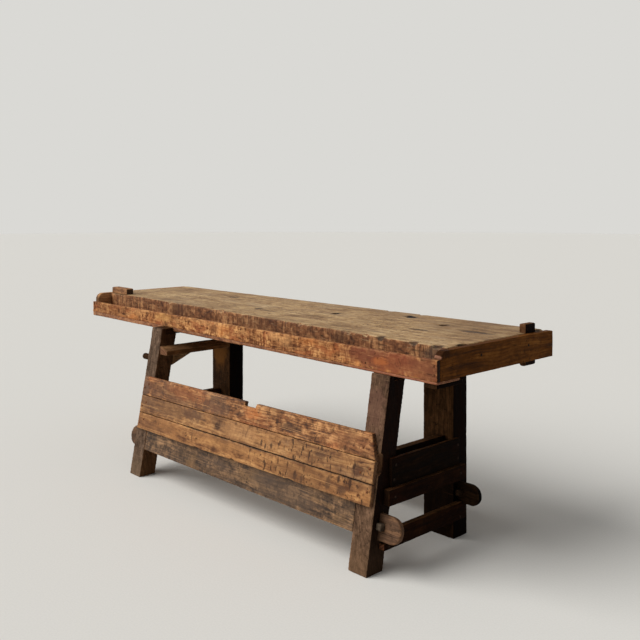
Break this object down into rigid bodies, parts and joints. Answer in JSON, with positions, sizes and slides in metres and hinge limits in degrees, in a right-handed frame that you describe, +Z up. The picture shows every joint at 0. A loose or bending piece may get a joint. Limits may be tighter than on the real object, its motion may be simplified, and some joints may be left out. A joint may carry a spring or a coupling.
{
  "type": "woodworking bench",
  "caption": "Antique joiner's workbench: tapered plank top with a tool trough, planing stop and holdfast holes, on trestles with leaning back legs and tusk-tenoned long rails.",
  "frame": {"origin": "on the floor, under the middle of the whole bench", "axes": "+X along the length, towards the end with the planing stop; +Y towards the front edge, away from the trough; +Z up"},
  "size_m": [2.5252, 0.8314, 0.813],
  "materials": {
    "oak_top": "dry worn top with open grain",
    "old_pine": "worn and oiled",
    "dark_oak": "dark and dull",
    "grey_wood": "dry, grey-brown",
    "iron": "dark forged iron"
  },
  "bodies": {
    "bench": {"bench_top": "oak_top", "trough_floor": "old_pine", "trough_board": "old_pine", "trough_batten": "dark_oak", "corner_cleat": "old_pine", "outer_rail_right": "dark_oak", "end_board_right": "dark_oak", "ledger_left": "old_pine", "ledger_knee": "dark_oak", "hanging_peg": "dark_oak", "lower_back_board": "grey_wood", "end_cap_right": "dark_oak", "end_cap_left": "old_pine", "bearer_right": "dark_oak", "bearer_left": "dark_oak", "back_leg_right": "grey_wood", "back_leg_left": "grey_wood", "front_leg_right": "dark_oak", "front_leg_left": "dark_oak", "end_rail_right": "dark_oak", "end_rail_left": "dark_oak", "stretcher_right": "dark_oak", "stretcher_left": "dark_oak", "back_long_rail": "dark_oak", "front_long_rail": "dark_oak", "back_plank_bottom": "old_pine", "back_plank_middle": "old_pine", "back_plank_top": "old_pine", "plank_nails": "iron", "cap_nails": "iron", "trough_nails": "iron", "end_board_nails": "iron", "cleat_nails": "iron", "bearer_pegs": "grey_wood"},
    "planing_stop": {"planing_stop": "old_pine"},
    "back_tusk_peg_right": {"back_tusk_peg_right": "grey_wood"},
    "back_tusk_peg_left": {"back_tusk_peg_left": "grey_wood"},
    "front_tusk_peg_right": {"front_tusk_peg_right": "grey_wood"},
    "front_tusk_peg_left": {"front_tusk_peg_left": "grey_wood"}
  },
  "joints": [
    {"name": "planing_stop_height", "type": "slide", "parent": "bench", "child": "planing_stop", "axis": [0, 0, 1], "range_m": [-0.033, 0.04]},
    {"name": "back_tusk_peg_right_pull", "type": "slide", "parent": "bench", "child": "back_tusk_peg_right", "axis": [0, -0.9834, 0.1814], "range_m": [0, 0.036]},
    {"name": "front_tusk_peg_right_pull", "type": "slide", "parent": "bench", "child": "front_tusk_peg_right", "axis": [0, -1, 0], "range_m": [0, 0.036]},
    {"name": "back_tusk_peg_left_pull", "type": "slide", "parent": "bench", "child": "back_tusk_peg_left", "axis": [0, -0.9834, 0.1814], "range_m": [0, 0.036]},
    {"name": "front_tusk_peg_left_pull", "type": "slide", "parent": "bench", "child": "front_tusk_peg_left", "axis": [0, -1, 0], "range_m": [0, 0.036]}
  ]
}
